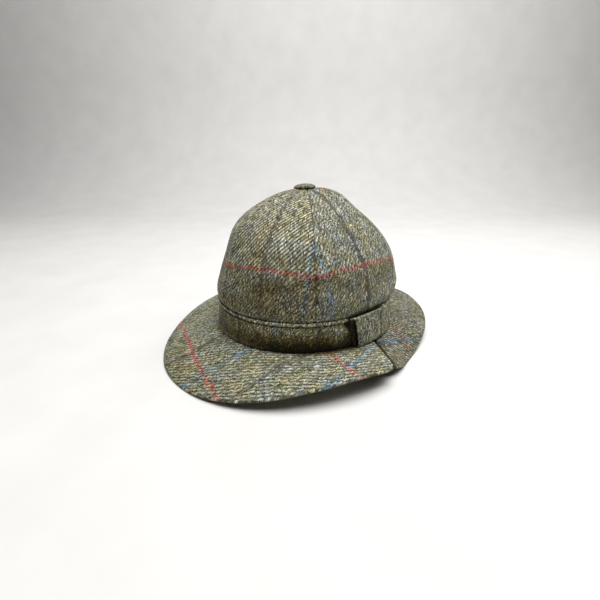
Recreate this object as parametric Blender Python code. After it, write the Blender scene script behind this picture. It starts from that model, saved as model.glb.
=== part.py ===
"""A full-brimmed deerstalker hat in tweed: six crown panels under a covered button, a folded hat band
with its loop, and a brim in two halves that overlap at a slit on each side. Metres, +Z up, the wearer
facing -Y and the table at z = 0. Azimuths are in degrees, from 0 at the front through 90 on the wearer's
left to 180 at the back."""

import math
from collections import namedtuple

import bmesh
import bpy
from mathutils import Vector

MM = 0.001

# Driving dimensions.
HALF_LENGTH = 98.6 * MM  # of the band's outer oval where it meets the brim, for a head of about 57 cm
HALF_WIDTH = 89.5 * MM
ROOT_HEIGHT = 24.5 * MM  # of the brim's face where it meets the band
CLOTH = 2.0 * MM
BRIM_CLOTH = 3.0 * MM
GAP = 0.3 * MM  # between pieces that touch
PANEL_COUNT = 6
CROWN_TURN = 3.8  # degrees that the worn crown's front seam has moved round from the middle of the brim

# The crown's face, from the brim up: height in mm, size over the band's oval at mid-panel, how much fuller
# the back is than the front in mm, and how far the seams stand out from mid-panel as a share of the radius.
Ring = namedtuple("Ring", "height scale full ridge")
CROWN_RINGS = (
    Ring(24.8, 0.977, 0.0, 0.000),
    Ring(39.0, 0.967, 0.6, 0.000),
    Ring(52.0, 0.966, 1.2, 0.002),
    Ring(59.0, 1.004, 1.6, 0.006),
    Ring(68.0, 1.016, 3.2, 0.012),
    Ring(79.0, 0.985, 3.6, 0.018),
    Ring(91.0, 0.942, 3.8, 0.024),
    Ring(103.0, 0.894, 3.4, 0.030),
    Ring(115.0, 0.832, 1.3, 0.036),
    Ring(127.0, 0.741, -1.9, 0.042),
    Ring(138.0, 0.616, -3.5, 0.046),
    Ring(148.0, 0.461, -2.7, 0.046),
    Ring(156.0, 0.296, -0.2, 0.040),
    Ring(160.2, 0.140, 1.0, 0.020),
    Ring(161.2, 0.040, 0.0, 0.000),
)
# Where along the rings a panel has its rows of points, from its hem to its tip under the button.
PANEL_ROWS = (0.0, 1.0, 1.6, 2.0, 2.3, 2.6, 3.0, 3.5, 4.0, 5.0) + (
    6.0, 7.0, 8.0, 9.0, 10.0, 11.0, 11.7, 12.4, 13.0, 13.5
)
PANEL_COLUMNS = 8
PANEL_CROWDING = 0.5  # how much closer together the columns stand at the seams, up to 1
SEAM_DIP = 1.0 * MM
SEAM_REACH = 3.0 * MM  # from the seam to where its dip has mostly died away
SEAM_TIP_REACH = 0.25  # the most of the crown's radius that the dip reaches, near the button

# Soft dents (depth over zero) and bulges (depth under zero) of the worn cloth, in degrees and mm.
Dent = namedtuple("Dent", "azimuth height half_angle half_height depth")
DENTS = (
    Dent(62.0, 94.0, 50.0, 13.0, -6.0),
    Dent(64.0, 89.5, 12.0, 5.5, 2.2),
    Dent(38.0, 82.0, 17.0, 13.0, 1.2),
    Dent(69.0, 79.0, 8.0, 6.0, -1.4),
    Dent(16.0, 78.0, 5.0, 13.0, 1.4),
    Dent(7.0, 76.0, 5.0, 14.0, -0.7),
    Dent(112.0, 88.0, 14.0, 16.0, 1.2),
    Dent(230.0, 84.0, 18.0, 12.0, 1.8),
    Dent(150.0, 155.0, 55.0, 5.0, -2.7),
)

# The band's face, from its lower edge up: share of its height, and how far the face stands out in mm.
Fold = namedtuple("Fold", "up out")
BAND_HEIGHT = 29.0 * MM
BAND_BASE = ROOT_HEIGHT + GAP
BAND_STAND = 0.5 * MM  # of the band's back from the crown's face
BAND_FOLDS = (
    Fold(0.00, -1.2),
    Fold(0.04, -0.2),
    Fold(0.12, 0.3),
    Fold(0.30, 0.2),
    Fold(0.55, 0.3),
    Fold(0.82, 0.1),
    Fold(0.86, -0.7),
    Fold(0.91, 0.5),
    Fold(0.96, 0.6),
    Fold(1.00, -0.3),
)
BAND_JOIN = 100.0  # azimuth where the band's ends meet, under the loop

# The loop's section, once round from behind its lower edge: out from the band's face and up from its lower
# edge, in mm.
Turn = namedtuple("Turn", "out up")
LOOP_TURNS = (
    Turn(1.8, 1.6),
    Turn(0.7, 2.8),
    Turn(0.5, 7.0),
    Turn(0.5, 14.0),
    Turn(0.5, 21.0),
    Turn(0.8, 27.0),
    Turn(2.4, 29.4),
    Turn(4.8, 29.2),
    Turn(6.4, 26.0),
    Turn(7.3, 19.0),
    Turn(7.5, 12.0),
    Turn(7.0, 5.0),
    Turn(5.6, 1.8),
    Turn(3.6, 0.9),
)
LOOP_CLOTH = 1.4 * MM
LOOP_STAND = BAND_STAND + CLOTH  # from the crown's face to the loop's own origin
LOOP_SPAN = (84.8, 118.5)
LOOP_SETTLE = 0.25  # how much flatter the loop lies at its rear end than at its front end
LOOP_LEAN = 5.0  # degrees by which the front end's top is further forward than its foot
LOOP_FALL = 0.16  # how much lower the loop is at its rear end
LOOP_FALL_START = 0.6  # share of its width where it starts to be lower

# The brim's outer edge: azimuth, distance from the hat's middle and height of the face, in degrees and mm.
Edge = namedtuple("Edge", "azimuth radius height")
FRONT_EDGE = (
    Edge(0.0, 159.5, 2.4),
    Edge(15.0, 157.5, 3.0),
    Edge(30.0, 152.0, 6.6),
    Edge(45.0, 144.5, 13.0),
    Edge(60.0, 137.0, 18.4),
    Edge(75.0, 132.0, 20.8),
    Edge(90.0, 130.0, 17.8),
    Edge(105.0, 128.0, 13.5),
)
REAR_EDGE = (
    Edge(75.0, 124.0, 17.5),
    Edge(90.0, 124.0, 13.5),
    Edge(102.0, 125.0, 8.4),
    Edge(114.0, 123.3, 2.4),
    Edge(128.0, 128.3, 5.4),
    Edge(144.0, 139.2, 12.0),
    Edge(160.0, 150.8, 15.6),
    Edge(180.0, 159.5, 18.0),
)
BRIM_ROWS = (0.0, 0.18, 0.38, 0.58, 0.78, 0.93, 0.965, 1.0)  # shares of the way from the band to the edge
BRIM_BELLY = 1.8 * MM  # how far the brim arches over the straight slope from band to edge
BRIM_MARGIN = 4.6 * MM  # the brim's inner margin, under the band and the crown
EDGE_ROUND = 0.9 * MM  # how far the face falls at the rounded edge
PRESS = 0.6 * MM  # the underside is pressed flat where it comes this near the table
SLIT_ROOT_BACK = 19.5 * MM  # how far behind the hat's middle the front half ends, at the band
SLIT_EDGE_BACK = 12.5 * MM  # and at the brim's edge
OVERLAP = 22.0 * MM  # of the rear half under the front half
LAP_DROP = BRIM_CLOTH + 0.5 * MM  # from the front half's face to the rear half's under it
LAP_RISE = 7.0 * MM  # how far behind the slit the rear half has come up from under the front half
CORNER = 7.0 * MM  # radius of the halves' corners
BRIM_CROWDING = 0.4  # how much closer together the columns stand at the slits, up to 1

# The covered button, turned about the hat's axis: radius and height over its seat in mm.
Turned = namedtuple("Turned", "radius up")
BUTTON_SEAT = 161.4 * MM
BUTTON_TILT = 3.0  # degrees forward
BUTTON_PROFILE = (
    Turned(0.0, -3.4),
    Turned(2.2, -3.4),
    Turned(2.6, -0.3),
    Turned(9.2, 0.0),
    Turned(10.4, 0.5),
    Turned(10.8, 1.5),
    Turned(10.3, 2.8),
    Turned(8.7, 4.0),
    Turned(6.0, 4.8),
    Turned(3.0, 5.2),
    Turned(0.0, 5.3),
)
BUTTON_SIDES = 24

# Numbers of faces along and across each sheet.
BAND_COLUMNS = 48
LOOP_FACES = (8, 26)
BRIM_COLUMNS = 52

# Steps over which a surface's slope is measured: in degrees, in rings of the crown and in turns of the loop.
NEAR_AZIMUTH = 1.0
NEAR_RISE = 0.05
NEAR_TURN = 0.1

WELD = 0.001 * MM
SHARP_ANGLE = 50.0
ROUGHNESS = 0.95
TWEED = (0.150, 0.155, 0.095, 1.0)
DARK_TWEED = (0.095, 0.090, 0.050, 1.0)


def smooth_step(value, start, end):
    share = min(max((value - start) / (end - start), 0.0), 1.0)
    return share * share * (3.0 - 2.0 * share)


def read_rows(rows, place):
    """The row at a fractional index, on a smooth curve through the rows that is level at both ends."""
    index = min(int(place), len(rows) - 2)
    share = place - index
    before = rows[index - 1] if index else rows[1]
    after = rows[index + 2] if index + 2 < len(rows) else rows[-2]
    values = []
    for p0, p1, p2, p3 in zip(before, rows[index], rows[index + 1], after):
        start = 0.5 * (p2 - p0)
        end = 0.5 * (p3 - p1)
        lift = 3.0 * (p2 - p1) - 2.0 * start - end
        bend = 2.0 * (p1 - p2) + start + end
        values.append(p1 + share * (start + share * (lift + share * bend)))
    return type(rows[0])(*values)


def place_of(rows, value):
    """The fractional index at which the first column, which grows from row to row, reaches a value."""
    index = 0
    while index < len(rows) - 2 and value > rows[index + 1][0]:
        index += 1
    low = rows[index][0]
    share = (value - low) / (rows[index + 1][0] - low)
    return index + min(max(share, 0.0), 1.0)


def row_at(rows, value):
    return read_rows(rows, place_of(rows, value))


def crowd(across, crowding):
    """From -1 to 1 over the columns of a sheet, which stand closer together towards its ends."""
    side = 2.0 * across - 1.0
    return (1.0 - crowding) * side + crowding * math.sin(side * math.pi / 2.0)


def on_oval(azimuth):
    """A point of the band's outer oval, at z = 0."""
    turn = math.radians(azimuth)
    return Vector((HALF_WIDTH * math.sin(turn), -HALF_LENGTH * math.cos(turn), 0.0))


def oval_normal(azimuth):
    turn = math.radians(azimuth)
    return Vector((HALF_LENGTH * math.sin(turn), -HALF_WIDTH * math.cos(turn), 0.0)).normalized()


def seam_angle(azimuth):
    """Degrees from the nearest seam: there is one near the front, and one each panel further round."""
    pitch = 360.0 / PANEL_COUNT
    return abs((azimuth - CROWN_TURN + pitch / 2.0) % pitch - pitch / 2.0)


def dent_depth(azimuth, height):
    depth = 0.0
    for dent in DENTS:
        across = ((azimuth - dent.azimuth + 180.0) % 360.0 - 180.0) / dent.half_angle
        along = (height / MM - dent.height) / dent.half_height
        depth += dent.depth * MM * math.exp(-across * across - along * along)
    return depth


def crown_form(azimuth, rise):
    """The crown's face without seams and dents. Rise counts the rings from the brim up."""
    ring = read_rows(CROWN_RINGS, rise)
    from_middle = 1.0 - seam_angle(azimuth) / (180.0 / PANEL_COUNT)
    point = on_oval(azimuth) * ring.scale * (1.0 + ring.ridge * from_middle**2)
    point += oval_normal(azimuth) * ring.full * MM * -math.cos(math.radians(azimuth))
    point.z = ring.height * MM
    return point


def crown_point(azimuth, rise, depth):
    """A point of the crown's wall, at depth 0 on its face and 1 on its back."""
    here = crown_form(azimuth, rise)
    along = crown_form(azimuth + NEAR_AZIMUTH, rise) - crown_form(azimuth - NEAR_AZIMUTH, rise)
    up = crown_form(azimuth, rise + NEAR_RISE) - crown_form(azimuth, max(rise - NEAR_RISE, 0.0))
    normal = along.cross(up).normalized()
    girth = math.hypot(here.x, here.y)
    off_seam = girth * math.radians(seam_angle(azimuth)) / min(SEAM_REACH, SEAM_TIP_REACH * girth)
    dip = SEAM_DIP * math.exp(-off_seam * off_seam)
    return here - normal * (dent_depth(azimuth, here.z) + max(dip * (1.0 - depth), CLOTH * depth))


def panel_place(panel):
    pitch = 360.0 / PANEL_COUNT
    middle = CROWN_TURN + pitch * (panel + 0.5)

    def place(across, up, depth):
        rise = PANEL_ROWS[round(up * (len(PANEL_ROWS) - 1))]
        spot = crown_form(middle, rise)
        margin = math.degrees(0.5 * GAP / math.hypot(spot.x, spot.y))
        azimuth = middle + crowd(across, PANEL_CROWDING) * (pitch * 0.5 - margin)
        return crown_point(azimuth, rise, depth)

    return place


def round_crown(azimuth, height, out):
    """A point that stands out from the crown's face at this height."""
    rise = place_of(CROWN_RINGS, height / MM)
    return crown_form(azimuth, rise) + oval_normal(azimuth) * out


def band_place(across, up, depth):
    """Up runs over the rows of the band's folds, so each fold gets its own line of points."""
    fold = BAND_FOLDS[round(up * (len(BAND_FOLDS) - 1))]
    margin = math.degrees(0.5 * GAP / HALF_WIDTH)
    azimuth = BAND_JOIN + margin + across * (360.0 - 2.0 * margin)
    out = BAND_STAND if depth else BAND_STAND + CLOTH + fold.out * MM
    return round_crown(azimuth, BAND_BASE + fold.up * BAND_HEIGHT, out)


def loop_place(across, turn, depth):
    place = turn * (len(LOOP_TURNS) - 1)
    settled = 1.0 - LOOP_SETTLE * across
    sides = []
    for near in (place, min(place + NEAR_TURN, len(LOOP_TURNS) - 1.0), max(place - NEAR_TURN, 0.0)):
        row = read_rows(LOOP_TURNS, near)
        sides.append(Vector((LOOP_STAND + row.out * settled * MM, row.up * MM)))
    here, ahead, behind = sides
    run = (ahead - behind).normalized()
    section = here + Vector((run.y, -run.x)) * LOOP_CLOTH * depth
    lean = LOOP_LEAN * (0.5 - section.y / BAND_HEIGHT) * (1.0 - across)
    azimuth = LOOP_SPAN[0] + across * (LOOP_SPAN[1] - LOOP_SPAN[0]) + lean
    lower = 1.0 - LOOP_FALL * smooth_step(across, LOOP_FALL_START, 1.0)
    return round_crown(azimuth, BAND_BASE + section.y * lower, section.x)


def brim_edge(rows, azimuth):
    """The edge's point of the brim's face, on either side of the hat."""
    row = row_at(rows, abs((azimuth + 180.0) % 360.0 - 180.0))
    turn = math.radians(azimuth)
    return Vector((row.radius * math.sin(turn), -row.radius * math.cos(turn), row.height)) * MM


def brim_reach(rows, azimuth):
    return (brim_edge(rows, azimuth).xy - on_oval(azimuth).xy).length


def brim_height(rows, azimuth, out):
    """Height of the brim's face at a distance out from the band's oval."""
    if out <= 0.0:
        return ROOT_HEIGHT
    share = out / brim_reach(rows, azimuth)
    slope = (brim_edge(rows, azimuth).z - ROOT_HEIGHT) * share
    return ROOT_HEIGHT + slope + BRIM_BELLY * 4.0 * share * (1.0 - share)


def front_height(azimuth, out):
    return brim_height(FRONT_EDGE, azimuth, out)


def slit_back(share):
    """How far behind the hat's middle the slit is, at a share of the way from the band to the edge."""
    return SLIT_ROOT_BACK + (SLIT_EDGE_BACK - SLIT_ROOT_BACK) * share


def rear_height(azimuth, out):
    """The rear half's own height, or under the front half as far as the slits."""
    under = front_height(azimuth, out) - LAP_DROP
    own = brim_height(REAR_EDGE, azimuth, out)
    share = max(out, 0.0) / brim_reach(REAR_EDGE, azimuth)
    point = on_oval(azimuth).lerp(brim_edge(REAR_EDGE, azimuth), share)
    return under + (own - under) * smooth_step(point.y - slit_back(share), 0.0, LAP_RISE)


def brim_place(rows, height, middle, overlap):
    """Places a half of the brim about its middle azimuth. Its ends run along the slits, or reach this far
    ahead of them."""
    side_radius = row_at(rows, 90.0).radius * MM

    def place(across, up, depth):
        row = round(up * len(BRIM_ROWS))
        share = BRIM_ROWS[row - 1] if row else 0.0
        end_back = slit_back(share) - overlap
        end = math.degrees(math.acos(-end_back / (HALF_LENGTH + (side_radius - HALF_LENGTH) * share)))
        crowded = crowd(across, BRIM_CROWDING)
        azimuth = middle + crowded * abs(middle - end)
        reach = brim_reach(rows, azimuth)
        from_end = (1.0 - abs(crowded)) * math.radians(abs(middle - end)) * side_radius
        cut = CORNER - math.sqrt(CORNER**2 - max(CORNER - from_end, 0.0) ** 2)
        out = share * (reach - cut) if row else -BRIM_MARGIN
        face_fall = EDGE_ROUND if up == 1.0 else 0.0
        fall = BRIM_CLOTH if depth else face_fall
        level = height(azimuth, out) - fall
        point = on_oval(azimuth).lerp(brim_edge(rows, azimuth), out / reach)
        point.z = level if level > PRESS else 0.0
        return point

    return place


def add_piece(name, form, color, parent):
    """Makes a closed, smooth object of a bmesh."""
    bmesh.ops.recalc_face_normals(form, faces=form.faces)
    if form.calc_volume(signed=True) < 0.0:
        bmesh.ops.reverse_faces(form, faces=form.faces)
    mesh = bpy.data.meshes.new(name)
    form.to_mesh(mesh)
    form.free()
    mesh.shade_smooth()
    mesh.set_sharp_from_angle(angle=math.radians(SHARP_ANGLE))
    material = bpy.data.materials.new(name)
    material.use_nodes = True
    shader = material.node_tree.nodes["Principled BSDF"]
    shader.inputs["Base Color"].default_value = color
    shader.inputs["Roughness"].default_value = ROUGHNESS
    shader.inputs["Metallic"].default_value = 0.0
    mesh.materials.append(material)
    piece = bpy.data.objects.new(name, mesh)
    piece.parent = parent
    bpy.context.scene.collection.objects.link(piece)
    return piece


def add_sheet(name, faces, place, color, parent):
    """A sheet of cloth: a flat grid made two deep, each of whose points then goes to its place."""
    form = bmesh.new()
    bmesh.ops.create_grid(form, x_segments=faces[0], y_segments=faces[1], size=0.5)
    grown = bmesh.ops.extrude_face_region(form, geom=form.faces[:])
    for item in grown["geom"]:
        if isinstance(item, bmesh.types.BMVert):
            item.co.z = 1.0
    for point in form.verts:
        point.co = place(point.co.x + 0.5, point.co.y + 0.5, point.co.z)
    return add_piece(name, form, color, parent)


def add_button(parent):
    form = bmesh.new()
    points = [form.verts.new((row.radius * MM, 0.0, row.up * MM)) for row in BUTTON_PROFILE]
    edges = [form.edges.new(pair) for pair in zip(points, points[1:])]
    bmesh.ops.spin(
        form,
        geom=points + edges,
        cent=(0.0, 0.0, 0.0),
        axis=(0.0, 0.0, 1.0),
        angle=2.0 * math.pi,
        steps=BUTTON_SIDES,
    )
    bmesh.ops.remove_doubles(form, verts=form.verts, dist=WELD)
    button = add_piece("top_button", form, TWEED, parent)
    button.location.z = BUTTON_SEAT
    button.rotation_euler.x = math.radians(BUTTON_TILT)
    return button


for old in list(bpy.data.objects):
    bpy.data.objects.remove(old)

hat = bpy.data.objects.new("deerstalker_hat", None)
bpy.context.scene.collection.objects.link(hat)

panel_faces = (PANEL_COLUMNS, len(PANEL_ROWS) - 1)
for panel in range(PANEL_COUNT):
    add_sheet(f"crown_panel_{panel + 1}", panel_faces, panel_place(panel), TWEED, hat)
add_button(hat)
add_sheet("hat_band", (BAND_COLUMNS, len(BAND_FOLDS) - 1), band_place, DARK_TWEED, hat)
add_sheet("band_loop", LOOP_FACES, loop_place, TWEED, hat)
brim_faces = (BRIM_COLUMNS, len(BRIM_ROWS))
add_sheet("brim_front", brim_faces, brim_place(FRONT_EDGE, front_height, 0.0, 0.0), TWEED, hat)
add_sheet("brim_rear", brim_faces, brim_place(REAR_EDGE, rear_height, 180.0, OVERLAP), TWEED, hat)
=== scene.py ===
import math

import bmesh
import bpy
from mathutils import Matrix, Vector, noise


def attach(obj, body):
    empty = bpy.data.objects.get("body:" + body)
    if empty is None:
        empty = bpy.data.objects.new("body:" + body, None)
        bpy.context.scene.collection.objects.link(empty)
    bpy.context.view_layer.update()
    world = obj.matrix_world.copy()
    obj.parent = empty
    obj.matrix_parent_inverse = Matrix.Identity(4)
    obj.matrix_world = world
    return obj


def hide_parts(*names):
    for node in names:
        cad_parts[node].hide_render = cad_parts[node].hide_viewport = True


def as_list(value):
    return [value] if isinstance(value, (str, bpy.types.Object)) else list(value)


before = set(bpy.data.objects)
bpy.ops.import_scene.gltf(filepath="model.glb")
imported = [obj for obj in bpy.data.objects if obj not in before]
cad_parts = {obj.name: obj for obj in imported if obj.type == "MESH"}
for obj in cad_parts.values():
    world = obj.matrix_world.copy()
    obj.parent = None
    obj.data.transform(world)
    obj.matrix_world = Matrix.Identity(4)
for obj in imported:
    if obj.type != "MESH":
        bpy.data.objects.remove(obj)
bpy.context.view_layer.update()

mm = 0.001

# Sizes that several pieces share. Azimuths are in degrees, 0 at the front and 90 on the wearer's left.
hat = {
    "halfLength": 98.6 * mm,  # of the band's oval where it meets the brim
    "halfWidth": 89.5 * mm,
    "rootHeight": 24.5 * mm,  # of the brim's face where it meets the band
    "cloth": 2.0 * mm,
    "weld": 0.001 * mm,
    "sharpAngle": 50.0,
    "ripple": 0.45 * mm,  # soft unevenness of worn cloth
    "rippleSize": 24.0 * mm,
    "fineRipple": (0.4, 2.7),  # share and fineness of a second one
    "ovalSteps": 120,
}


def smoothStep(value, start, end):
    share = min(max((value - start) / (end - start), 0.0), 1.0)
    return share * share * (3.0 - 2.0 * share)


# 1 between two soft ends and 0 outside them.
def between(value, start, full, ending, end):
    return smoothStep(value, start, full) * (1.0 - smoothStep(value, ending, end))


# 1 at a middle, falling softly to 0 on both sides.
def hump(value, middle, halfWidth):
    return math.exp(-(((value - middle) / halfWidth) ** 2))


# The row at a fractional index, on a smooth curve through the rows that is level at both ends.
def readRows(rows, place):
    index = min(int(place), len(rows) - 2)
    share = place - index
    before = rows[index - 1] if index else rows[1]
    after = rows[index + 2] if index + 2 < len(rows) else rows[-2]
    values = []
    for p0, p1, p2, p3 in zip(before, rows[index], rows[index + 1], after):
        start = 0.5 * (p2 - p0)
        end = 0.5 * (p3 - p1)
        lift = 3.0 * (p2 - p1) - 2.0 * start - end
        bend = 2.0 * (p1 - p2) + start + end
        values.append(p1 + share * (start + share * (lift + share * bend)))
    return values


# The fractional index at which the first column, which grows from row to row, reaches a value.
def placeOf(rows, value):
    index = 0
    while index < len(rows) - 2 and value > rows[index + 1][0]:
        index += 1
    low = rows[index][0]
    share = (value - low) / (rows[index + 1][0] - low)
    return index + min(max(share, 0.0), 1.0)


def rowAt(rows, value):
    return readRows(rows, placeOf(rows, value))


# Places from 0 to 1 along a length: even steps, and finer ones where its end is rounded over.
def stations(length, step, endRound=0.0, roundSteps=5):
    last = length - endRound
    count = max(round(last / step), 1)
    places = [last * k / count for k in range(count + 1)]
    if endRound:
        turns = [math.pi / 2 * k / roundSteps for k in range(roundSteps - 1, -1, -1)]
        places += [length - endRound * (1.0 - math.cos(turn)) for turn in turns]
    return [place / length for place in places]


def onOval(azimuth):
    turn = math.radians(azimuth)
    return Vector((hat["halfWidth"] * math.sin(turn), -hat["halfLength"] * math.cos(turn), 0.0))


def ovalNormal(azimuth):
    turn = math.radians(azimuth)
    across = hat["halfLength"] * math.sin(turn)
    return Vector((across, -hat["halfWidth"] * math.cos(turn), 0.0)).normalized()


# Length along the band's oval from azimuth 0, in metres.
def ovalLength(azimuth):
    steps = hat["ovalSteps"]
    length = 0.0
    for k in range(steps):
        length += (onOval(azimuth * (k + 1) / steps) - onOval(azimuth * k / steps)).length
    return math.copysign(length, azimuth)


# Soft unevenness of the cloth at a point, in metres. It is the same for every piece that passes there.
def rippleAt(point, seed=0.0):
    spot = point / hat["rippleSize"] + Vector((seed, seed, seed))
    share, fineness = hat["fineRipple"]
    return hat["ripple"] * (noise.noise(spot) + share * noise.noise(spot * fineness))


class Wire:  # one output of a node, which takes part in Python expressions
    def __init__(self, tree, socket):
        self.tree = tree
        self.socket = socket

    def add(self, kind, settings, values, output=0):
        node = self.tree.nodes.new(kind)
        for name, setting in settings.items():
            if name == "stops":
                ramp = node.color_ramp
                while len(ramp.elements) < len(setting):
                    ramp.elements.new(0.5)
                for element, (position, color) in zip(ramp.elements, setting):
                    element.position = position
                    element.color = color
            else:
                setattr(node, name, setting)
        for name, value in values.items():
            if isinstance(value, Wire):
                self.tree.links.new(value.socket, node.inputs[name])
            else:
                node.inputs[name].default_value = value
        return Wire(self.tree, node.outputs[output])

    def math(self, operation, *others):
        values = {index: value for index, value in enumerate((self,) + others)}
        return self.add("ShaderNodeMath", {"operation": operation}, values)

    def __add__(self, other):
        return self.math("ADD", other)

    __radd__ = __add__

    def __sub__(self, other):
        return self.math("SUBTRACT", other)

    def __rsub__(self, other):
        return self.add("ShaderNodeMath", {"operation": "SUBTRACT"}, {0: other, 1: self})

    def __mul__(self, other):
        return self.math("MULTIPLY", other)

    __rmul__ = __mul__

    def __truediv__(self, other):
        return self.math("DIVIDE", other)

    def __lt__(self, other):
        return self.math("LESS_THAN", other)

    def __gt__(self, other):
        return self.math("GREATER_THAN", other)

    def floor(self):
        return self.math("FLOOR")

    def fract(self):
        return self.math("FRACT")

    def pick(self, low, high):  # low where this mask is 0, high where it is 1
        return self.add("ShaderNodeMix", {}, {0: self, 2: low, 3: high})

    def tint(self, low, high):  # the same for colours
        return self.add("ShaderNodeMix", {"data_type": "RGBA"}, {0: self, 6: low, 7: high}, 2)

    def product(self, color, other):  # two colours multiplied
        settings = {"data_type": "RGBA", "blend_type": "MULTIPLY"}
        return self.add("ShaderNodeMix", settings, {0: 1.0, 6: color, 7: other}, 2)

    def part(self, index):
        return self.add("ShaderNodeSeparateXYZ", {}, {0: self}, index)

    def point(self, x, y, z):
        return self.add("ShaderNodeCombineXYZ", {}, {0: x, 1: y, 2: z})

    def noiseAt(self, vector, scale, detail=2.0, roughness=0.5):
        values = {"Vector": vector, "Scale": scale, "Detail": detail, "Roughness": roughness}
        return self.add("ShaderNodeTexNoise", {}, values)

    def chanceAt(self, vector):
        return self.add("ShaderNodeTexWhiteNoise", {}, {"Vector": vector})

    def spread(self, fromLow, fromHigh, toLow, toHigh):  # a clamped linear change of range
        ends = {1: fromLow, 2: fromHigh, 3: toLow, 4: toHigh}
        return self.add("ShaderNodeMapRange", {}, {0: self, **ends})


# A material with its shader's constants.
def startMaterial(name, constants):
    material = bpy.data.materials.new(name)
    material.use_nodes = True
    shader = material.node_tree.nodes["Principled BSDF"]
    for socket, value in constants.items():
        shader.inputs[socket].default_value = value
    return material, shader, Wire(material.node_tree, None)


tweed = {
    "warpPitch": 0.92 * mm,  # between the yarns that run up the cloth
    "weftPitch": 1.16 * mm,  # between the yarns that run across it
    "warpRepeat": 87,  # from one dark line to the next, with a blue one midway
    "weftRepeat": 86,  # from one red line to the next
    "darkYarns": 3.2,  # half the number of yarns in a line
    "blueYarns": 3.1,
    "redYarns": 1.9,
    "pale": (0.370, 0.364, 0.272, 1.0),
    "olive": (0.098, 0.096, 0.060, 1.0),
    "dusk": (0.176, 0.153, 0.139, 1.0),
    "blue": (0.276, 0.372, 0.428, 1.0),
    "red": (0.290, 0.045, 0.040, 1.0),
    "fray": (2.0, 2.4, 0.6, 1.5),  # of the dark, blue, red and cross lines' edges, in yarns
    "faintBlue": 0.28,  # strength of every third blue line
    "crossDusk": 0.5,  # strength of the dark line midway between two red ones
    "redBlend": 0.28,  # share of its red on the yarns that cross a red line
    "hueStops": (0.30, 0.44, 0.56, 0.70),  # from cool through the plain colour to warm
    "coolPale": (0.320, 0.365, 0.295, 1.0),
    "warmPale": (0.378, 0.366, 0.225, 1.0),
    "coolOlive": (0.078, 0.094, 0.070, 1.0),
    "warmOlive": (0.106, 0.098, 0.046, 1.0),
    "rust": (0.30, 0.17, 0.07, 1.0),
    "teal": (0.09, 0.19, 0.24, 1.0),
    "fleck": 0.20,  # how strongly a rare bit of yarn is rust or teal
    "fleckShare": 0.035,
    "floatTone": 0.6,  # how much the visible bits of yarn differ, 0 to 1
    "speckTone": 0.3,  # and single crossings of yarns
    "drift": (0.28, 0.72, 0.75, 1.25),  # range of the drift along a yarn, and its tones
    "pace": (0.25, 0.12),  # of that drift, and of the hue along a yarn
    "yarnShade": (0.6, 1.2),  # painted shade in the hollows between yarns and painted light on their tops: their tones
    "blueShade": (0.3, 1.6, 0.86, 1.08),  # range of the tone, and how blue its ends are
    "slip": (3.0, 3.0),  # of the twill lines: how often, below a red line and over it
    "slipScale": 260.0,
    "slipReach": 6.0 * mm,  # how far from the red line each is full
    "wander": (70.0, 1.2, 1.0),  # of the yarns: scale, and reach in yarns each way
    "hair": (900.0, 0.9),  # scale and reach of their hairy edges
    "patchSize": 9.0 * mm,
    "patchTone": 1.4,
    "hueSize": 15.0 * mm,
    "hueTone": 2.6,
    "coolTint": (0.94, 1.0, 1.16, 1.0),
    "warmTint": (1.05, 1.01, 0.84, 1.0),
    "surface": {
        "Roughness": 0.92, "Specular IOR Level": 0.2,
        "Sheen Weight": 0.12, "Sheen Roughness": 0.5, "Sheen Tint": (0.80, 0.80, 0.70, 1.0),
    },
    "bump": 0.8,
    "relief": 0.25 * mm,
    "yarnRound": 0.55,  # share of it that is the yarns' roundness, next to their arching
    "fuzz": (2600.0, 0.5),  # scale and strength
    "shade": (1.0, 0.72, 0.22, 1.0),  # tint of the painted shade, browner as it deepens
    # painted light: how brightly this copy of the cloth is lit, darker under 1 and lighter over 1
    "light": 1.0,
    "cast": (1.0, 1.0, 1.0),
}
buttonTweed = dict(tweed, cast=(1.06, 0.99, 0.90), light=0.78)
crownTweed = dict(
    tweed, warpPitch=0.90 * mm, weftPitch=1.14 * mm, warpRepeat=89, weftRepeat=100, slip=(7.0, 2.2),
    floatTone=0.75, dusk=(0.190, 0.165, 0.147, 1.0), cast=(1.02, 0.99, 0.95),
)
sideTweed = dict(
    crownTweed, weftRepeat=88, slip=(9.0, 9.0), floatTone=0.5, speckTone=0.4,
    dusk=(0.110, 0.101, 0.095, 1.0), cast=(0.99, 0.995, 1.05),
)
brimTweed = dict(
    tweed, warpPitch=1.017 * mm, weftPitch=1.30 * mm, warpRepeat=79, weftRepeat=78, blueYarns=3.6,
    redYarns=1.85, dusk=(0.215, 0.187, 0.142, 1.0), slip=(5.5, 5.5),
)
# The rear half of the brim: its lower light paints it in shade.
rearTweed = dict(
    brimTweed, light=0.70, cast=(1.03, 0.99, 1.05), slip=(6.0, 6.0), red=(0.200, 0.080, 0.060, 1.0),
    dusk=(0.260, 0.240, 0.195, 1.0), redYarns=2.6,
)
loopTweed = dict(
    tweed, warpPitch=0.82 * mm, weftPitch=0.95 * mm, warpRepeat=98, weftRepeat=105, darkYarns=3.6,
    blueYarns=3.5, redYarns=2.3, slip=(9.0, 9.0), floatTone=0.75,
)
bandTweed = dict(
    loopTweed, speckTone=0.4, light=1.09, pale=(0.380, 0.360, 0.240, 1.0),
    olive=(0.100, 0.094, 0.052, 1.0),
)


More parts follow.
